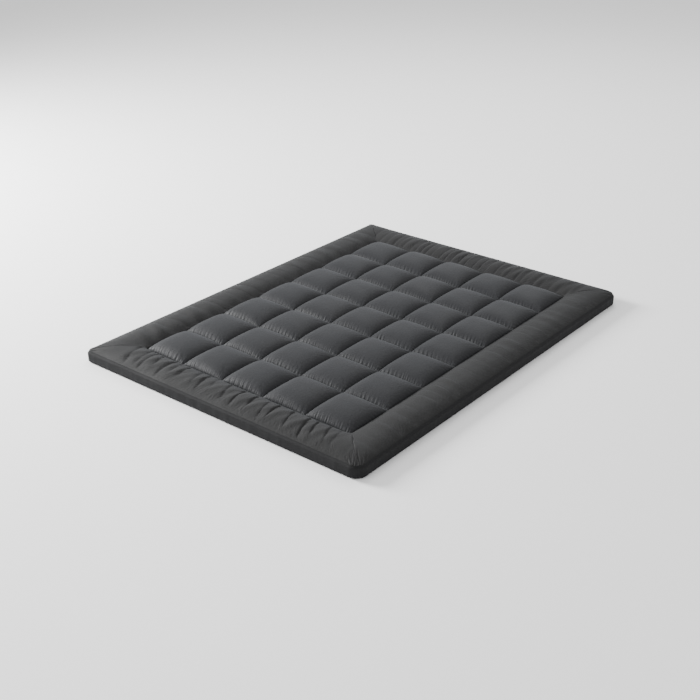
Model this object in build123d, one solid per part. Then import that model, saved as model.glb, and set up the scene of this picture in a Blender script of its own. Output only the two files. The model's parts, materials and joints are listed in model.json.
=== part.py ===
from build123d import *
import os

# Quilted futon mattress, queen size. Lengths are in millimetres.
# +X runs along the short side, +Y along the long side from foot to head, and +Z is up.
# The origin is on the floor, under the middle of the mattress.
# The mattress folds in thirds at two quilting seams, so every layer is cut there into
# a foot, a middle and a head piece.

# Overall size
WIDTH = 1524.0
LENGTH = 2032.0
CORNER_RADIUS = 45.0

# Quilting
COLUMNS = 5
BORDER = 187.0
SECTION_ROWS = {"foot": 2, "middle": 3, "head": 2}

# Heights above the floor
CORE_TOP = 40.0
BACKING_TOP = 41.0
BAND_TOP = 54.0
BORDER_TOP = 74.0
BOX_TOP = 82.0

# Cloth thicknesses
BASE_CLOTH = 1.2
BAND_CLOTH = 1.0
TOP_CLOTH = 0.8
THREAD_RADIUS = 0.4

# Roundings and clearances
LOWER_EDGE_ROUND = 8.0
BORDER_ROUND = 19.0
BOX_ROUND = 30.0
BOX_CORNER_RADIUS = 36.0
SEAM_HALF_GAP = 2.0
THREAD_SHIFT = 1.2
FOLD_HALF_GAP = 0.5
BASE_INSET = 4.0
SLIP = 0.2

# Worked out from the sizes above
ROWS = sum(SECTION_ROWS.values())
FIELD_WIDTH = WIDTH - 2 * BORDER
FIELD_LENGTH = LENGTH - 2 * BORDER
COLUMN_PITCH = FIELD_WIDTH / COLUMNS
ROW_PITCH = FIELD_LENGTH / ROWS


def column_seam(i):
    """X of the seam before column i; column_seam(COLUMNS) is the last one."""
    return -FIELD_WIDTH / 2 + i * COLUMN_PITCH


def row_seam(j):
    """Y of the seam before row j; row_seam(ROWS) is the last one."""
    return -FIELD_LENGTH / 2 + j * ROW_PITCH


def section_rows(section):
    """The rows of boxes that belong to one third, as a range."""
    names = list(SECTION_ROWS)
    first = sum(SECTION_ROWS[n] for n in names[: names.index(section)])
    return range(first, first + SECTION_ROWS[section])


def section_span(section):
    """Lowest and highest Y of one third, short of its fold lines by the fold gap."""
    rows = section_rows(section)
    at_foot_end = rows.start == 0
    at_head_end = rows.stop == ROWS
    low = -LENGTH / 2 if at_foot_end else row_seam(rows.start) + FOLD_HALF_GAP
    high = LENGTH / 2 if at_head_end else row_seam(rows.stop) - FOLD_HALF_GAP
    return low, high


def third_of(layer, section):
    """The stretch of a full-size layer that lies in one third."""
    low, high = section_span(section)
    window = Pos(0, (low + high) / 2, BOX_TOP / 2) * Box(2 * WIDTH, high - low, 2 * BOX_TOP)
    return layer & window


def plate(inset, bottom, top):
    """A flat layer in the mattress outline, set in from the edge all round."""
    outline = RectangleRounded(WIDTH - 2 * inset, LENGTH - 2 * inset, CORNER_RADIUS - inset)
    return Pos(0, 0, bottom) * extrude(outline, top - bottom)


def top_face_edges(solid):
    return solid.faces().sort_by(Axis.Z)[-1].edges()


def cased_plate(inset, top):
    """A layer that fills the side band down to its rounded lower edge."""
    layer = plate(inset, inset, top)
    return fillet(layer.faces().sort_by(Axis.Z)[0].edges(), LOWER_EDGE_ROUND - inset)


def border_form(inset, top_inset):
    """The padded frame round the field of boxes, with its upper edges rounded."""
    layer = plate(inset, BACKING_TOP, BORDER_TOP - top_inset)
    field = Rectangle(FIELD_WIDTH + 2 * inset, FIELD_LENGTH + 2 * inset)
    frame = layer - extrude(field, 2 * BORDER_TOP)
    return fillet(top_face_edges(frame), BORDER_ROUND - inset)


def box_form(inset):
    """One quilted box over the origin: a pillow block on the backing, with a round crown."""
    width = COLUMN_PITCH - 2 * (SEAM_HALF_GAP + inset)
    length = ROW_PITCH - 2 * (SEAM_HALF_GAP + inset)
    outline = RectangleRounded(width, length, BOX_CORNER_RADIUS - inset)
    block = Pos(0, 0, BACKING_TOP) * extrude(outline, BOX_TOP - inset - BACKING_TOP)
    return fillet(top_face_edges(block), BOX_ROUND - inset)


def box_centre(row, column):
    x = column_seam(column) + COLUMN_PITCH / 2
    y = row_seam(row) + ROW_PITCH / 2
    return Pos(x, y, 0)


def side_band():
    """The boxing strip: a wall of cloth that turns in under the mattress at its lower edge."""
    shell = cased_plate(0, BAND_TOP) - cased_plate(BAND_CLOTH, BAND_TOP + BAND_CLOTH)
    return shell - Pos(0, 0, BASE_CLOTH / 2) * Box(2 * WIDTH, 2 * LENGTH, BASE_CLOTH)


def border_cover():
    """Cloth over the padded border, from the band's upper edge to the field seam."""
    shell = border_form(0, 0) - border_form(TOP_CLOTH, TOP_CLOTH)
    behind_band = plate(0, 0, BAND_TOP) - plate(BAND_CLOTH, 0, BAND_TOP)
    return shell - behind_band


def quilt_cover(section):
    """Top cloth of one third: it runs over each box and down to the backing in the seams."""
    low, high = section_span(section)
    low = max(low, row_seam(0))
    high = min(high, row_seam(ROWS))
    seam_cloth = Box(FIELD_WIDTH, high - low, TOP_CLOTH)
    cover = Pos(0, (low + high) / 2, BACKING_TOP + TOP_CLOTH / 2) * seam_cloth
    cells = [(row, column) for row in section_rows(section) for column in range(COLUMNS)]
    cover += [box_centre(*cell) * box_form(0) for cell in cells]
    return cover - [box_centre(*cell) * box_form(TOP_CLOTH) for cell in cells]


def box_fill(row, column):
    """The loose fibre closed off inside one box."""
    return box_centre(row, column) * box_form(TOP_CLOTH + SLIP)


def seam_threads(section):
    """Quilting thread of one third: lines across the mattress, and lines along it on top."""
    low, high = section_span(section)
    low = max(low, row_seam(0))
    high = min(high, row_seam(ROWS))
    rows = section_rows(section)
    across_z = BACKING_TOP + TOP_CLOTH + THREAD_RADIUS
    along_z = across_z + 2 * THREAD_RADIUS + SLIP
    strand = Circle(THREAD_RADIUS)
    across = extrude(strand, FIELD_WIDTH / 2 - THREAD_SHIFT, both=True)
    along = extrude(strand, (high - low) / 2, both=True)
    threads = []
    for j in range(rows.start, rows.stop + 1):
        if j == rows.start and j > 0:
            continue
        shift = THREAD_SHIFT if j == 0 else -THREAD_SHIFT if j == rows.stop else 0
        threads.append(Pos(0, row_seam(j) + shift, across_z) * Rot(0, 90, 0) * across)
    for i in range(COLUMNS + 1):
        shift = THREAD_SHIFT if i == 0 else -THREAD_SHIFT if i == COLUMNS else 0
        threads.append(Pos(column_seam(i) + shift, (low + high) / 2, along_z) * Rot(90, 0, 0) * along)
    return Compound(children=threads)


def write(name, shape):
    export_step(shape, f"parts/{name}.step")


os.makedirs("parts", exist_ok=True)

FULL_LAYERS = {
    "base_cover": plate(BASE_INSET, 0, BASE_CLOTH),
    "foam_core": cased_plate(BASE_CLOTH, CORE_TOP),
    "quilt_backing": plate(BASE_CLOTH, CORE_TOP, BACKING_TOP),
    "side_band": side_band(),
    "border_fill": border_form(BAND_CLOTH + SLIP, TOP_CLOTH + SLIP),
    "border_cover": border_cover(),
}

for section in SECTION_ROWS:
    for layer_name, layer in FULL_LAYERS.items():
        write(f"{section}_{layer_name}", third_of(layer, section))
    write(f"{section}_quilt_cover", quilt_cover(section))
    write(f"{section}_quilt_thread", seam_threads(section))

for row in range(ROWS):
    for column in range(COLUMNS):
        write(f"box_fill_r{row + 1}_c{column + 1}", box_fill(row, column))
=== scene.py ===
import json
import math

import bpy
import numpy as np
from mathutils import Matrix, Vector


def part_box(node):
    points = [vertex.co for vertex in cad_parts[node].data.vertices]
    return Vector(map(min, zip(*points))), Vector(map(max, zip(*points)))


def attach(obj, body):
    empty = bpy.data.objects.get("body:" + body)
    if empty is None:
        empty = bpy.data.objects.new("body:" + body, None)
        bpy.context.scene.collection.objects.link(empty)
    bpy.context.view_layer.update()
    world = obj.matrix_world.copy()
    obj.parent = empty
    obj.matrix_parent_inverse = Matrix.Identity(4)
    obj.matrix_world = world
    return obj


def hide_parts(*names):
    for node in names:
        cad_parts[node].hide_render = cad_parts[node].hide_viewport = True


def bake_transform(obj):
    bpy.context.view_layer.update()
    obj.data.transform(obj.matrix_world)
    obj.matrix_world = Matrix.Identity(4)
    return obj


# Quilted futon mattress: puffed boxes, padded border, side band, base and stitching.
# Lengths are in metres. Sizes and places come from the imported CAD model.

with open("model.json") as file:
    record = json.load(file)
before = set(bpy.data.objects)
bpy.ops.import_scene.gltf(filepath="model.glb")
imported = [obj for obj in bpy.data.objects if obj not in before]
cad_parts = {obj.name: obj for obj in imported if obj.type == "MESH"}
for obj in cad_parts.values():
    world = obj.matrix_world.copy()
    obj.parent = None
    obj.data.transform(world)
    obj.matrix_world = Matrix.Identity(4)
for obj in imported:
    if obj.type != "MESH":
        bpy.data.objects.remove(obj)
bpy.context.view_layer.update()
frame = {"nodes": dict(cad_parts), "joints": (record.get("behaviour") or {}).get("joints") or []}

# ---------------------------------------------------------------- sizes read from the frame

COLUMNS = 5
ROWS = 7
FOLDS = {joint["name"]: joint for joint in frame["joints"]}
FIRST_FOLD_Y = FOLDS["first_fold"]["pos_m"][1]
SECOND_FOLD_Y = FOLDS["second_fold"]["pos_m"][1]
FOLD_REACH = 0.042


def top_of(node):
    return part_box(node)[1].z


def middle_of(node):
    low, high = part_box(node)
    return (low + high) / 2


HALF_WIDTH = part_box("foot_side_band")[1].x
HALF_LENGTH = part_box("head_side_band")[1].y
BACKING_TOP = top_of("foot_quilt_backing")
BAND_TOP = top_of("foot_side_band")
BORDER_TOP = top_of("foot_border_cover")
BOX_TOP = top_of("foot_quilt_cover")
BASE_TOP = top_of("foot_base_cover")
FIRST_BOX = middle_of("box_fill_r1_c1")
NEXT_BOX = middle_of("box_fill_r2_c2")
COLUMN_PITCH = NEXT_BOX.x - FIRST_BOX.x
ROW_PITCH = NEXT_BOX.y - FIRST_BOX.y
FIELD_X = -FIRST_BOX.x + COLUMN_PITCH / 2
FIELD_Y = -FIRST_BOX.y + ROW_PITCH / 2

SEAM_Z = BAND_TOP
CLOTH = 0.0012


# ---------------------------------------------------------------- mesh helpers

def new_mesh(name, points, faces, uv, material):
    """A smooth-shaded mesh object; uv holds one place on the cloth, in metres, for each point."""
    mesh = bpy.data.meshes.new(name)
    mesh.from_pydata([tuple(p) for p in points], [], [tuple(f) for f in faces])
    layer = mesh.uv_layers.new(name="cloth")
    corner_points = np.empty(len(mesh.loops), np.int32)
    mesh.loops.foreach_get("vertex_index", corner_points)
    layer.data.foreach_set("uv", np.asarray(uv, np.float32)[corner_points].ravel())
    mesh.polygons.foreach_set("use_smooth", np.ones(len(mesh.polygons), bool))
    mesh.update()
    mesh.set_sharp_from_angle(angle=math.radians(65))
    piece = bpy.data.objects.new(name, mesh)
    bpy.context.scene.collection.objects.link(piece)
    if material:
        mesh.materials.append(material)
    return piece


def grid_faces(rows, columns, first=0, closed=False):
    """Faces of a grid of points stored row by row; closed joins the last column to the first."""
    j, i = np.meshgrid(np.arange(rows - 1), np.arange(columns if closed else columns - 1), indexing="ij")
    a = j * columns + i
    b = j * columns + (i + 1) % columns
    return (first + np.stack([a, b, b + columns, a + columns], -1)).reshape(-1, 4)


def grid_ring(rows, columns):
    """Indices of the points round the edge of a grid, in order."""
    index = np.arange(rows * columns).reshape(rows, columns)
    return np.concatenate([index[0], index[1:, -1], index[-1, -2::-1], index[-2:0:-1, 0]])


def closed_pad(top, floor_z):
    """A grid sheet closed into a pad: walls down from its edge and a flat underside at floor_z."""
    rows, columns, _ = top.shape
    ring = grid_ring(rows, columns)
    count = rows * columns
    edge = top.reshape(-1, 3)[ring] * (1, 1, 0) + (0, 0, floor_z)
    points = np.concatenate([top.reshape(-1, 3), edge])
    here = np.arange(len(ring))
    there = np.roll(here, -1)
    walls = np.stack([np.roll(ring, -1), ring, count + here, count + there], -1)
    under = [tuple(count + here[::-1])]
    return points, [*grid_faces(rows, columns), *walls, *under]


def closed_strip(top, floor_z):
    """A long grid sheet closed into a pad: walls, two end caps and a flat underside at floor_z."""
    rows, columns, _ = top.shape
    count = rows * columns
    index = np.arange(count).reshape(rows, columns)
    edges = np.concatenate([top[0], top[-1]]) * (1, 1, 0) + (0, 0, floor_z)
    near, far = count + np.arange(columns), count + columns + np.arange(columns)
    inner = np.stack([index[0, 1:], index[0, :-1], near[:-1], near[1:]], -1)
    outer = np.stack([index[-1, :-1], index[-1, 1:], far[1:], far[:-1]], -1)
    under = np.stack([near[1:], near[:-1], far[:-1], far[1:]], -1)
    caps = [(*index[:, 0], far[0], near[0]), (*index[::-1, -1], near[-1], far[-1])]
    points = np.concatenate([top.reshape(-1, 3), edges])
    return points, [*grid_faces(rows, columns), *inner, *outer, *under, *caps]


def shell(sheet, thickness):
    """A grid sheet doubled by the same sheet shifted by thickness, with walls round the edge."""
    rows, columns, _ = sheet.shape
    count = rows * columns
    ring = grid_ring(rows, columns)
    there = np.roll(ring, -1)
    walls = np.stack([there, ring, ring + count, there + count], -1)
    front = grid_faces(rows, columns)
    points = np.concatenate([sheet.reshape(-1, 3), (sheet + thickness).reshape(-1, 3)])
    return points, [*front, *(front[:, ::-1] + count), *walls]


def finer(loop, factor):
    """More points along the last-but-one axis of a closed loop, on a smooth curve through the old ones."""
    p0, p1, p2, p3 = (np.roll(loop, shift, -2) for shift in (1, 0, -1, -2))
    parts = []
    for k in range(factor):
        t = k / factor
        bend = (2 * p0 - 5 * p1 + 4 * p2 - p3) * t ** 2 + (3 * p1 - p0 - 3 * p2 + p3) * t ** 3
        parts.append((2 * p1 + (p2 - p0) * t + bend) / 2)
    mixed = np.stack(parts, -2)
    return mixed.reshape(*loop.shape[:-2], -1, loop.shape[-1])


def smooth(t):
    """Rises gently from 0 at t = 0 to 1 at t = 1."""
    t = np.clip(t, 0, 1)
    return t * t * (3 - 2 * t)


def waves(s, rng, count, shortest, longest):
    """A smooth random line: a sum of sines with seeded lengths and phases, about -1 to 1."""
    total = np.zeros_like(s)
    for _ in range(count):
        length = rng.uniform(shortest, longest)
        total += np.sin(2 * math.pi * (s / length + rng.random()))
    return total / math.sqrt(count)


# ---------------------------------------------------------------- cloth simulation

SIM_FRAMES = 22


def billow(start, faces, pinned, slack, pressure=20.0, bending=0.3, mass=0.15):
    """Inflates a sheet that is sewn down at the pinned points and cut larger by each point's slack."""
    mesh = bpy.data.meshes.new("billow")
    mesh.from_pydata([tuple(p) for p in start], [], [tuple(f) for f in faces])
    sheet = bpy.data.objects.new("billow", mesh)
    bpy.context.scene.collection.objects.link(sheet)
    pins = sheet.vertex_groups.new(name="pins")
    pins.add([int(i) for i in pinned], 1.0, "REPLACE")
    fuller = sheet.vertex_groups.new(name="fuller")
    most = float(np.max(slack))
    for number, share in enumerate(np.broadcast_to(slack, len(start)) / most):
        fuller.add([number], float(share), "REPLACE")
    cloth = sheet.modifiers.new("cloth", "CLOTH")
    settings = cloth.settings
    settings.vertex_group_shrink = "fuller"
    settings.shrink_min = 0
    settings.shrink_max = -most
    settings.vertex_group_mass = "pins"
    settings.quality = 6
    settings.mass = mass
    settings.tension_stiffness = 20
    settings.compression_stiffness = 20
    settings.shear_stiffness = 8
    settings.bending_stiffness = bending
    settings.tension_damping = 8
    settings.compression_damping = 8
    settings.air_damping = 2
    settings.use_pressure = True
    settings.uniform_pressure_force = pressure
    settings.effector_weights.gravity = 0
    cloth.collision_settings.use_collision = False
    scene = bpy.context.scene
    cloth.point_cache.frame_start = 1
    cloth.point_cache.frame_end = SIM_FRAMES
    for number in range(1, SIM_FRAMES + 1):
        scene.frame_set(number)
    result = sheet.evaluated_get(bpy.context.evaluated_depsgraph_get())
    points = np.empty(len(mesh.vertices) * 3, np.float32)
    result.data.vertices.foreach_get("co", points)
    bpy.data.objects.remove(sheet)
    scene.frame_set(1)
    return points.reshape(-1, 3).astype(float)


# ---------------------------------------------------------------- materials

def material(name, color, roughness, sheen):
    """An empty cloth material: a principled shader with its plain values set."""
    made = bpy.data.materials.new(name)
    made.use_nodes = True
    shader = made.node_tree.nodes["Principled BSDF"]
    shader.inputs["Base Color"].default_value = (*color, 1)
    shader.inputs["Roughness"].default_value = roughness
    shader.inputs["Sheen Weight"].default_value = sheen
    shader.inputs["Sheen Roughness"].default_value = 0.45
    shader.inputs["Sheen Tint"].default_value = (0.78, 0.82, 0.9, 1)
    shader.inputs["Specular IOR Level"].default_value = 0.16
    return made


def node(made, kind, inputs=None, **settings):
    """Adds a shader node; inputs maps a socket to a value or to another node's output."""
    added = made.node_tree.nodes.new(kind)
    for key, value in settings.items():
        setattr(added, key, value)
    for key, value in (inputs or {}).items():
        if isinstance(value, bpy.types.NodeSocket):
            made.node_tree.links.new(value, added.inputs[key])
        else:
            added.inputs[key].default_value = value
    return added


def ramp(made, factor, low_color, high_color, low=0.0, high=1.0):
    added = node(made, "ShaderNodeValToRGB", {"Fac": factor})
    elements = added.color_ramp.elements
    elements[0].position = low
    elements[1].position = high
    elements[0].color = (*low_color, 1)
    elements[1].color = (*high_color, 1)
    return added.outputs["Color"]


def scaled(color, factor):
    return tuple(channel * factor for channel in color)


def woven(name, color, roughness, sheen, thread=0.0011, weave_depth=0.00006, crease_depth=0.0012,
          mottle=0.10, nap=0.06):
    """Brushed cloth: a fine weave, slight creases, uneven dye that also changes its gloss, and a nap that
    speckles its colour.
    """
    made = material(name, color, roughness, sheen)
    shader = made.node_tree.nodes["Principled BSDF"]
    cloth_map = node(made, "ShaderNodeUVMap", uv_map="cloth").outputs["UV"]
    solid = node(made, "ShaderNodeTexCoord").outputs["Object"]
    dye = node(made, "ShaderNodeTexNoise", {"Vector": solid, "Scale": 5.0, "Detail": 5.0, "Roughness": 0.6})
    fibres = node(made, "ShaderNodeTexNoise", {"Vector": solid, "Scale": 420.0, "Detail": 3.0,
                                               "Roughness": 0.7})
    base = ramp(made, dye.outputs["Fac"], scaled(color, 1 - mottle), scaled(color, 1 + mottle), 0.3, 0.7)
    speckle = ramp(made, fibres.outputs["Fac"], (1 - nap,) * 3, (1 + nap,) * 3, 0.3, 0.7)
    tint = node(made, "ShaderNodeMix", data_type="RGBA", blend_type="MULTIPLY")
    tint.inputs["Factor"].default_value = 1
    made.node_tree.links.new(base, tint.inputs[6])
    made.node_tree.links.new(speckle, tint.inputs[7])
    made.node_tree.links.new(tint.outputs[2], shader.inputs["Base Color"])
    rough = node(made, "ShaderNodeMapRange", {"Value": dye.outputs["Fac"], "From Min": 0.3, "From Max": 0.7,
                                              "To Min": roughness - 0.07, "To Max": roughness + 0.07})
    made.node_tree.links.new(rough.outputs["Result"], shader.inputs["Roughness"])
    warp = node(made, "ShaderNodeTexWave", {"Vector": cloth_map, "Scale": 0.5 / thread, "Distortion": 0.6,
                                            "Detail": 1.0}, bands_direction="X")
    weft = node(made, "ShaderNodeTexWave", {"Vector": cloth_map, "Scale": 0.5 / thread, "Distortion": 0.6,
                                            "Detail": 1.0}, bands_direction="Y")
    weave = node(made, "ShaderNodeMath", {0: warp.outputs["Fac"], 1: weft.outputs["Fac"]},
                 operation="MULTIPLY")
    creases = node(made, "ShaderNodeTexNoise", {"Vector": solid, "Scale": 38.0, "Detail": 4.0,
                                                "Roughness": 0.55, "Distortion": 0.4})
    crease_bump = node(made, "ShaderNodeBump", {"Height": creases.outputs["Fac"], "Strength": 0.6,
                                                "Distance": crease_depth})
    creased = crease_bump.outputs["Normal"]
    weave_bump = node(made, "ShaderNodeBump", {"Height": weave.outputs["Value"], "Strength": 0.8,
                                               "Distance": weave_depth, "Normal": creased})
    made.node_tree.links.new(weave_bump.outputs["Normal"], shader.inputs["Normal"])
    return made


def crumbly(name, color, scale, depth, roughness=0.9):
    """Foam, fibre or felt: pores or strands from noise, with painted shade darkening the hollow of each
    pore.
    """
    made = material(name, color, roughness, 0.1)
    shader = made.node_tree.nodes["Principled BSDF"]
    solid = node(made, "ShaderNodeTexCoord").outputs["Object"]
    pores = node(made, "ShaderNodeTexVoronoi", {"Vector": solid, "Scale": scale})
    # painted shade: the colour darkens towards the bottom of each pore, where the bump below is lowest
    tone = ramp(made, pores.outputs["Distance"], scaled(color, 0.7), color, 0.0, 0.4)
    made.node_tree.links.new(tone, shader.inputs["Base Color"])
    bump = node(made, "ShaderNodeBump", {"Height": pores.outputs["Distance"], "Strength": 0.7,
                                         "Distance": depth})
    made.node_tree.links.new(bump.outputs["Normal"], shader.inputs["Normal"])
    return made


QUILT = woven("quilt_cloth", (0.0128, 0.0133, 0.0148), 0.64, 0.05)
BORDER = woven("border_cloth", (0.0125, 0.0125, 0.0125), 0.74, 0.04)
BAND = woven("band_cloth", (0.0115, 0.0115, 0.0120), 0.80, 0.03, crease_depth=0.0008)
BASE = woven("base_cloth", (0.030, 0.030, 0.032), 0.85, 0.08, thread=0.002, weave_depth=0.0002)
THREAD = woven("thread_ply", (0.030, 0.031, 0.034), 0.6, 0.1, thread=0.0004, weave_depth=0.0001)
FOAM = crumbly("foam_cells", (0.10, 0.10, 0.105), 300.0, 0.0008)
FELT = crumbly("felt_sheet", (0.08, 0.08, 0.082), 500.0, 0.0003)


# ---------------------------------------------------------------- quilted boxes

BOX_CELLS = 56
BOX_VARIANTS = 6
BOX_SLACK = 0.035
BOX_COLUMNS = 104
BOX_ROWS = 64
BOX_SEAM_Z = BACKING_TOP + 0.002
BOX_HEIGHT = BOX_TOP - BOX_SEAM_Z - 0.0005
PEAK_SHIFT = 0.22


def box_sheet(variant):
    """One billowed box cover over the origin, with its seam at height 0: a square grid of points."""
    n = BOX_CELLS + 1
    rng = np.random.default_rng(100 + variant)
    u, v = np.meshgrid(np.linspace(-1, 1, n), np.linspace(-1, 1, n))
    dome = np.sqrt(np.maximum((1 - u ** 4) * (1 - v ** 4), 0))
    noise = rng.normal(size=u.shape) * smooth(dome * 2)
    start = np.stack([u * COLUMN_PITCH / 2, v * ROW_PITCH / 2, 0.022 * dome + 0.0005 * noise], -1)
    edge = ((np.abs(u) > 1 - 1e-6) | (np.abs(v) > 1 - 1e-6)).ravel()
    slack = BOX_SLACK * rng.uniform(0.8, 1.2)
    points = billow(start.reshape(-1, 3), grid_faces(n, n), np.nonzero(edge)[0], slack)
    return points.reshape(n, n, 3)


def resample(sheet, u, v):
    """Points of a square grid sheet at places u, v from -1 to 1, by bilinear mixing."""
    n = sheet.shape[0] - 1
    fu, fv = (u + 1) / 2 * n, (v + 1) / 2 * n
    iu, iv = np.minimum(fu.astype(int), n - 1), np.minimum(fv.astype(int), n - 1)
    du, dv = (fu - iu)[..., None], (fv - iv)[..., None]
    low = sheet[iv, iu] * (1 - du) + sheet[iv, iu + 1] * du
    high = sheet[iv + 1, iu] * (1 - du) + sheet[iv + 1, iu + 1] * du
    return low * (1 - dv) + high * dv


def seam_puckers(x, y, rng):
    """Fine gathers beside the seams: short ripples that fade within a finger's width."""
    puckers = np.zeros_like(x)
    for edge in (-1, 1):
        gap = np.maximum(ROW_PITCH / 2 - edge * y, 0)
        fade = np.exp(-gap / (0.010 - 0.004 * edge)) * smooth(gap / 0.003)
        puckers += 0.0011 * waves(x + 0.3 * gap, rng, 9, 0.006, 0.026) * fade
        gap = np.maximum(COLUMN_PITCH / 2 - edge * x, 0)
        fade = np.exp(-gap / 0.010) * smooth(gap / 0.003)
        puckers += 0.0008 * waves(y + 0.3 * gap, rng, 5, 0.012, 0.026) * fade
    return puckers


def make_box(row, column, sheets, rng):
    """A closed pillow: the billowed cover on top, walls down to the backing and a flat underside."""
    sheet = sheets[int(rng.integers(len(sheets)))]
    mirror_x, mirror_y = rng.choice([-1, 1], 2)
    spread = np.linspace(-1, 1, BOX_ROWS)
    rows = np.sin(spread * math.pi / 2) * 0.55 + spread * 0.45
    u, v = np.meshgrid(np.linspace(-1, 1, BOX_COLUMNS), rows)
    points = resample(sheet, u * mirror_x, v * mirror_y) * (mirror_x, mirror_y, 1)
    share = np.clip(points[..., 2] / sheet[..., 2].max(), 0, 1)
    lean = u + PEAK_SHIFT * (1 - u ** 2)
    round_top = ((1 - np.abs(lean) ** 2.6) * (1 - np.abs(v) ** 2.6)) ** 0.52
    height = BOX_HEIGHT * rng.uniform(0.93, 1.02) * (0.30 * share + 0.70 * round_top)
    height += seam_puckers(points[..., 0], points[..., 1], rng) * (share > 0)
    centre = middle_of(f"box_fill_r{row + 1}_c{column + 1}")
    top = points.copy()
    top[..., :2] += (centre.x, centre.y)
    top[..., 2] = BOX_SEAM_Z + height
    cloud, faces = closed_pad(top, BACKING_TOP + 0.0003)
    return new_mesh(f"quilt_box_r{row + 1}_c{column + 1}", cloud, faces, cloud[:, :2], QUILT)


def body_name(y):
    """The third of the mattress that a place along Y belongs to."""
    if y < FIRST_FOLD_Y:
        return "foot_third"
    if y < SECOND_FOLD_Y:
        return "middle_third"
    return "head_third"


def carry(piece):
    """The piece rides on its third; a piece that comes near a fold is left unattached, with its place baked
    into its points.
    """
    ys = [v.co.y for v in piece.data.vertices]
    for fold_y, lower, upper in ((FIRST_FOLD_Y, "foot_third", "middle_third"),
                                 (SECOND_FOLD_Y, "middle_third", "head_third")):
        first_y = fold_y - FOLD_REACH
        last_y = fold_y + FOLD_REACH
        if min(ys) < last_y and max(ys) > first_y:
            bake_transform(piece)
            return
    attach(piece, body_name(sum(ys) / len(ys)))


def make_quilt():
    """All the quilted boxes, from a few simulated covers placed in random ways."""
    rng = np.random.default_rng(7)
    sheets = [box_sheet(variant) for variant in range(BOX_VARIANTS)]
    for row in range(ROWS):
        for column in range(COLUMNS):
            box = make_box(row, column, sheets, rng)
            fill = f"box_fill_r{row + 1}_c{column + 1}"
            section = body_name(middle_of(fill).y).replace("_third", "")
            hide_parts(fill, f"{section}_quilt_cover")
            carry(box)


# ---------------------------------------------------------------- border

SIDES = ("foot", "right", "head", "left")
CORNERS = ((-1, -1), (1, -1), (1, 1), (-1, 1))
CORNER_RADII = (0.022, 0.046, 0.046, 0.022)
TURN_RADII = (0.110, 0.110, 0.105, 0.030)
SIDE_COLUMNS = {"foot": 280, "right": 370, "head": 280, "left": 370}
SIDE_SLACK = {"foot": 0.010, "right": 0.008, "head": 0.022, "left": 0.008}
BORDER_ROWS = 34
BORDER_HEIGHT = BORDER_TOP - SEAM_Z + 0.005
EDGE_INSET = 0.005
FINER = 3


def around():
    """Places round the edge of the unit square, with the corner and side that each belongs to."""
    places, corners, sides = [], [], []
    for number, side in enumerate(SIDES):
        mix = np.linspace(0, 1, SIDE_COLUMNS[side] + 1)[:-1]
        here, there = np.array(CORNERS[number], float), np.array(CORNERS[(number + 1) % 4], float)
        places.append(here * (1 - mix[:, None]) + there * mix[:, None])
        corners.append(np.where(mix < 0.5, number, (number + 1) % 4))
        sides += [side] * len(mix)
    return np.concatenate(places), np.concatenate(corners), np.array(sides)


def rounded(places, half, radius):
    """Points of a rounded rectangle: half is its half size, radius holds one corner radius per point."""
    sharp = places * half
    core = half - radius[:, None]
    centre = np.clip(sharp, -core, core)
    away = sharp - centre
    length = np.maximum(np.linalg.norm(away, axis=-1, keepdims=True), 1e-9)
    return centre + away / length * radius[:, None]


def edge_loop(inset):
    """The mattress outline, set in by inset."""
    places, corners, _ = around()
    radius = np.maximum(np.array(CORNER_RADII)[corners] - inset, 0.004)
    return rounded(places, np.array([HALF_WIDTH, HALF_LENGTH]) - inset, radius)


def pleats(along, across, rng, ends, spacing, depth, width, slant, reach):
    """Tucks that start at the field seam: steep on one side, soft on the other, fading outward."""
    total = np.zeros_like(along)
    place = ends[0]
    while place < ends[1]:
        strength = rng.uniform(0.35, 1.0)
        offset = (along - place - slant * rng.uniform(0.6, 1.4) * across) / width
        fold = np.exp(-np.abs(offset) * np.where(offset < 0, 2.6, 0.9))
        finish = reach * rng.uniform(0.75, 1.15)
        fade = smooth(across / 0.06) * (1 - smooth((across - finish + 0.3) / 0.3))
        total -= depth * strength * fold * fade
        place += rng.uniform(*spacing)
    return total


def border_folds(flat, reach):
    """Height changes of the border cloth: pleats along each side over broad, soft waves."""
    _, _, sides = around()
    sides = np.repeat(sides, FINER)
    rng = np.random.default_rng(5)
    folds = np.zeros(flat.shape[:2])
    across = np.broadcast_to(reach[:, None], folds.shape)
    styles = {
        "foot": dict(spacing=(0.035, 0.085), depth=0.0075, width=0.011, slant=0.060, reach=0.95),
        "right": dict(spacing=(0.045, 0.120), depth=0.0034, width=0.015, slant=-0.035, reach=1.2),
        "head": dict(spacing=(0.030, 0.055), depth=0.0055, width=0.010, slant=0.0, reach=1.3),
        "left": dict(spacing=(0.050, 0.110), depth=0.0030, width=0.020, slant=0.030, reach=1.2),
    }
    x, y = flat[..., 0], flat[..., 1]
    distance = {
        "foot": HALF_WIDTH + x,
        "right": HALF_LENGTH + y,
        "head": HALF_WIDTH - x,
        "left": HALF_LENGTH - y,
    }
    for side, style in styles.items():
        here = sides == side
        along, outward = distance[side][:, here], across[:, here]
        length = 2 * (HALF_WIDTH if side in ("foot", "head") else HALF_LENGTH)
        inside = smooth((along - 0.10) / 0.15) * smooth((length - along - 0.10) / 0.15)
        soft = 0.0016 * waves(along + 0.05 * outward, rng, 6, 0.05, 0.16) * np.sin(math.pi * outward)
        tucks = pleats(along, outward, rng, (0.15, length - 0.12), **style)
        turn = smooth((along - 0.08) / 0.08) * smooth((length - along - 0.08) / 0.08)
        folds[:, here] = tucks * turn + soft * inside
    return folds


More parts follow.
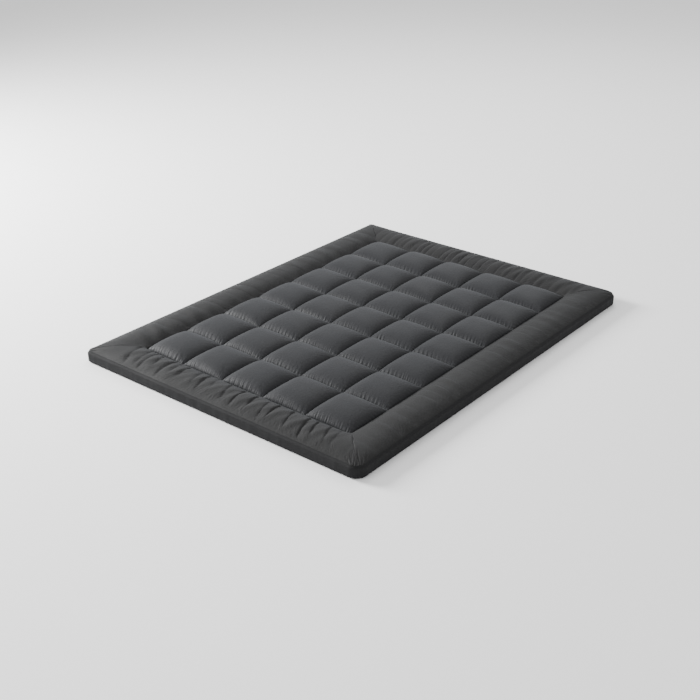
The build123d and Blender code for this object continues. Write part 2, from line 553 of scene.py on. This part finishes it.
def border_ring():
    """The whole padded border, billowed, as rows from the field seam out to the edge seam."""
    places, corners, sides = around()
    rng = np.random.default_rng(21)
    turn = np.linspace(0, math.pi, BORDER_ROWS + 1)
    reach = (1 - np.cos(turn)) / 2
    field = np.array([FIELD_X, FIELD_Y])
    edge = np.array([HALF_WIDTH, HALF_LENGTH]) - EDGE_INSET
    outer_radius = np.array(CORNER_RADII)[corners] - EDGE_INSET
    turn_radius = np.array(TURN_RADII)[corners]
    seam = BOX_SEAM_Z * (1 - reach) + SEAM_Z * reach
    from_corner = (1 - np.abs(places).min(1)) * HALF_WIDTH
    rows = []
    for share, seam_z, angle in zip(reach, seam, turn):
        radius = share * outer_radius + 4 * share * (1 - share) * turn_radius
        flat = rounded(places, field * (1 - share) + edge * share, radius)
        arch = math.sin(angle) ** 0.8
        noise = rng.normal(size=len(places)) * min(1, 2 * arch) * smooth(from_corner / 0.2)
        rows.append(np.column_stack([flat, seam_z + 0.020 * arch + 0.0004 * noise]))
    points = np.array(rows)
    columns = len(places)
    pinned = np.concatenate([np.arange(columns), np.arange(columns) + BORDER_ROWS * columns])
    ease = 0.1 + 0.9 * smooth(from_corner / 0.3)
    slack = np.tile(ease * [SIDE_SLACK[side] for side in sides], BORDER_ROWS + 1)
    faces = grid_faces(BORDER_ROWS + 1, columns, closed=True)[:, ::-1]
    points = billow(points.reshape(-1, 3), faces, pinned, slack).reshape(points.shape)
    lift = np.maximum(points[..., 2] - seam[:, None], 0)
    lift /= np.percentile(lift.max(0), 60)
    limited = np.where(lift < 0.8, lift, 0.8 + 0.3 * np.tanh((lift - 0.8) / 0.3))
    points[..., 2] = seam[:, None] + BORDER_HEIGHT * limited
    points = finer(points, FINER)
    raised = smooth((points[..., 2] - seam[:, None]) / 0.012)
    points[..., 2] += border_folds(points[..., :2], reach) * raised
    return points


def half_runs(columns):
    """Column numbers of the two halves of the closed border loop, which meet at y = 0."""
    foot, right, left = (SIDE_COLUMNS[side] for side in ("foot", "right", "left"))
    step = columns // (2 * foot + right + left)
    right_middle = step * (foot + right // 2)
    left_middle = columns - step * (left // 2)
    return {
        "foot": np.arange(left_middle - columns, right_middle + 1) % columns,
        "head": np.arange(right_middle, left_middle + 1),
    }


def make_border():
    """The padded border, as two closed halves that meet at the middle of the mattress."""
    ring = border_ring()
    for half, run in half_runs(ring.shape[1]).items():
        sheet = ring[:, run][:, ::-1]
        sheet[:, (0, -1), 1] = 0
        cloud, faces = closed_strip(sheet, BACKING_TOP + 0.0003)
        piece = new_mesh(f"border_{half}_half", cloud, faces, cloud[:, :2], BORDER)
        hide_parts(f"{half}_border_fill", f"{half}_border_cover", "middle_border_fill",
                    "middle_border_cover")
        carry(piece)


# ---------------------------------------------------------------- side band and base

BAND_ROWS = 26
BAND_SWELL = 0.0025
BASE_INSET = 0.008


def make_band():
    """The side band: a strip of cloth that swells a little and turns under at the floor."""
    rng = np.random.default_rng(31)
    run = np.concatenate([[0], np.cumsum(np.linalg.norm(np.diff(edge_loop(0), axis=0), axis=1))])
    broad, fine = waves(run, rng, 8, 0.12, 0.5), waves(run, rng, 6, 0.03, 0.09)
    outline = edge_loop(EDGE_INSET)
    outward = np.roll(outline, -1, 0) - np.roll(outline, 1, 0)
    outward = np.stack([outward[:, 1], -outward[:, 0]], -1)
    outward /= np.linalg.norm(outward, axis=1, keepdims=True)
    rows = []
    for share in np.linspace(0, 1, BAND_ROWS + 1):
        swell = math.sin(math.pi * share)
        height = SEAM_Z * (1 - share)
        under = BASE_INSET - math.sqrt(max(0.0, BASE_INSET ** 2 - max(0.0, BASE_INSET - height) ** 2))
        below_groove = float(smooth((SEAM_Z - height) / 0.012))
        shift = (EDGE_INSET + BAND_SWELL) * below_groove - under
        shift = shift + swell * (0.0006 * broad + 0.0003 * fine)
        place = outline + outward * shift[:, None]
        rows.append(np.column_stack([place, np.full(len(place), height)]))
    sheet = np.array(rows)
    inward = np.column_stack([-outward, np.zeros(len(outward))]) * CLOTH
    for half, picked in half_runs(len(outline)).items():
        cloud, faces = shell(sheet[:, picked], inward[picked])
        uv = np.stack([np.tile(run[picked], 2 * BAND_ROWS + 2), cloud[:, 2]], -1)
        piece = new_mesh(f"side_band_{half}_half", cloud, faces, uv, BAND)
        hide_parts(f"{half}_side_band", "middle_side_band")
        carry(piece)


def half_width_at(y, side):
    """How far the underside reaches at each y, toward -X (side 0) or +X (side 1)."""
    corner = np.where(y < 0, (0, 1)[side], (3, 2)[side])
    radius = np.array(CORNER_RADII)[corner]
    over = np.clip(np.abs(y) - (HALF_LENGTH - radius), 0, radius - BASE_INSET)
    return HALF_WIDTH - radius + np.sqrt((radius - BASE_INSET) ** 2 - over ** 2)


def make_base():
    """The underside: a sheet in two halves that meet at the middle of the mattress."""
    reach = HALF_LENGTH - BASE_INSET
    folds = [np.linspace(y - FOLD_REACH, y + FOLD_REACH, 24) for y in (FIRST_FOLD_Y, SECOND_FOLD_Y)]
    corners = [np.linspace(side * (reach - 0.05), side * reach, 12) for side in (-1, 1)]
    ys = np.unique(np.round(np.concatenate([np.linspace(-reach, reach, 161), *folds, *corners]), 5))
    u = np.linspace(0, 1, 121)
    for half, keep in (("foot", ys <= 0), ("head", ys >= 0)):
        y = ys[keep][:, None]
        x = -half_width_at(y, 0) * (1 - u) + half_width_at(y, 1) * u
        low = np.stack([x, np.broadcast_to(y, x.shape), np.zeros_like(x)], -1)
        cloud, faces = shell(low[:, ::-1], np.array([0, 0, BASE_TOP]))
        piece = new_mesh(f"base_{half}_half", cloud, faces, cloud[:, :2], BASE)
        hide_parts(f"{half}_base_cover", "middle_base_cover")
        carry(piece)


# ---------------------------------------------------------------- stitching

STITCH = 0.0042
STITCH_PITCH = 0.0060
STITCH_RADIUS = 0.0006


def stitch_form():
    """One stitch along +X over the origin: a short thread that dips at both ends."""
    rings = np.array([-0.5, -0.38, 0.0, 0.38, 0.5])
    radii = np.array([0.25, 0.85, 1.0, 0.85, 0.25]) * STITCH_RADIUS
    lift = np.array([-0.8, 0.1, 0.4, 0.1, -0.8]) * STITCH_RADIUS
    angle = np.linspace(0, 2 * math.pi, 6, endpoint=False)
    points = []
    for x, radius, z in zip(rings, radii, lift):
        points += [(x * STITCH, radius * math.cos(a), radius * math.sin(a) + z) for a in angle]
    faces = [tuple(f) for f in grid_faces(5, 6, closed=True)]
    return np.array(points), faces + [tuple(range(5, -1, -1)), tuple(range(24, 30))]


def stitched_line(a, b, z):
    """Places and directions of the stitches from a to b."""
    a, b = np.array(a, float), np.array(b, float)
    length = np.linalg.norm(b - a)
    count = int(length / STITCH_PITCH)
    middle = (np.arange(count) + 0.5) / count
    places = a + middle[:, None] * (b - a)
    direction = np.broadcast_to((b - a) / length, (count, 2))
    return np.concatenate([places, np.full((count, 1), z)], -1), direction


def make_stitches():
    """The quilting thread along every seam of the field, in two halves."""
    z = BOX_SEAM_Z + STITCH_RADIUS * 0.6
    form, form_faces = stitch_form()
    columns_x = -FIELD_X + COLUMN_PITCH * np.arange(COLUMNS + 1)
    rows_y = -FIELD_Y + ROW_PITCH * np.arange(ROWS + 1)
    halves = (("foot", -FIELD_Y, 0.0, rows_y[:4]), ("head", 0.0, FIELD_Y, rows_y[4:]))
    for section, low, high, seams_y in halves:
        lines = [((x, low), (x, high)) for x in columns_x]
        lines += [((-FIELD_X, y), (FIELD_X, y)) for y in seams_y]
        found = [stitched_line(a, b, z) for a, b in lines]
        places = np.concatenate([p for p, _ in found])
        ways = np.concatenate([d for _, d in found])
        across = np.stack([-ways[:, 1], ways[:, 0]], -1)
        xy = form[None, :, 0, None] * ways[:, None] + form[None, :, 1, None] * across[:, None]
        xy += places[:, None, :2]
        heights = form[None, :, 2] + places[:, 2:]
        points = np.concatenate([xy, heights[..., None]], -1).reshape(-1, 3)
        faces = [tuple(v + k * len(form) for v in f) for k in range(len(places)) for f in form_faces]
        piece = new_mesh(f"quilting_thread_{section}_half", points, faces, points[:, :2], THREAD)
        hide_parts(f"{section}_quilt_thread", "middle_quilt_thread")
        carry(piece)


# ---------------------------------------------------------------- make everything

make_quilt()
make_border()
make_band()
make_base()
make_stitches()
for section in ("foot", "middle", "head"):
    for layer, look in (("foam_core", FOAM), ("quilt_backing", FELT)):
        frame["nodes"][f"{section}_{layer}"].data.materials[0] = look


# ---------------------------------------------------------------- camera, light and floor

def aim_camera():
    """The camera of the main picture."""
    yaw, pitch, roll = math.radians(-38.78), math.radians(26.82), math.radians(0.07)
    forward = Vector((math.sin(yaw) * math.cos(pitch), math.cos(yaw) * math.cos(pitch), -math.sin(pitch)))
    level = Vector((math.cos(yaw), -math.sin(yaw), 0))
    upright = level.cross(forward)
    right = math.cos(roll) * level + math.sin(roll) * upright
    up = -math.sin(roll) * level + math.cos(roll) * upright
    turn = Matrix((right, up, -forward)).transposed().to_4x4()
    lens = bpy.data.cameras.new("camera")
    lens.lens = 57.67
    lens.sensor_width = 36
    camera = bpy.data.objects.new("camera", lens)
    bpy.context.scene.collection.objects.link(camera)
    camera.matrix_world = Matrix.Translation((2.886, -3.709, 2.273)) @ turn
    bpy.context.scene.camera = camera


def add_light(name, place, target, size, power):
    """A square soft light at place, turned to target."""
    lamp = bpy.data.lights.new(name, "AREA")
    lamp.energy = power
    lamp.size = size
    light = bpy.data.objects.new(name, lamp)
    bpy.context.scene.collection.objects.link(light)
    light.location = place
    light.rotation_euler = (Vector(target) - Vector(place)).to_track_quat("-Z", "Y").to_euler()


def make_stage():
    """A plain pale floor and an even white surround."""
    half = 14.0
    n = 9
    u, v = np.meshgrid(np.linspace(-half, half, n), np.linspace(-half, half, n))
    points = np.stack([u, v, np.full_like(u, -0.0005)], -1).reshape(-1, 3)
    pale = material("studio_floor", (0.86, 0.86, 0.86), 0.9, 0.0)
    grain = node(pale, "ShaderNodeTexNoise", {"Scale": 0.6})
    tone = ramp(pale, grain.outputs["Fac"], (0.91, 0.91, 0.91), (0.93, 0.93, 0.93))
    pale.node_tree.links.new(tone, pale.node_tree.nodes["Principled BSDF"].inputs["Base Color"])
    floor = new_mesh("studio_floor", points, grid_faces(n, n), points[:, :2], pale)
    world = bpy.data.worlds.new("studio")
    world.use_nodes = True
    world.node_tree.nodes["Background"].inputs["Color"].default_value = (1, 1, 1, 1)
    world.node_tree.nodes["Background"].inputs["Strength"].default_value = 1.0
    bpy.context.scene.world = world


aim_camera()
make_stage()
add_light("key", (-5.2, -1.7, 2.4), (0, 0, 0), 1.8, 1050)
add_light("fill", (-1.6, -5.5, 3.2), (0, 0, 0), 3.0, 45)
add_light("back", (-2.0, 4.5, 5.0), (0, 0, 0), 3.0, 170)
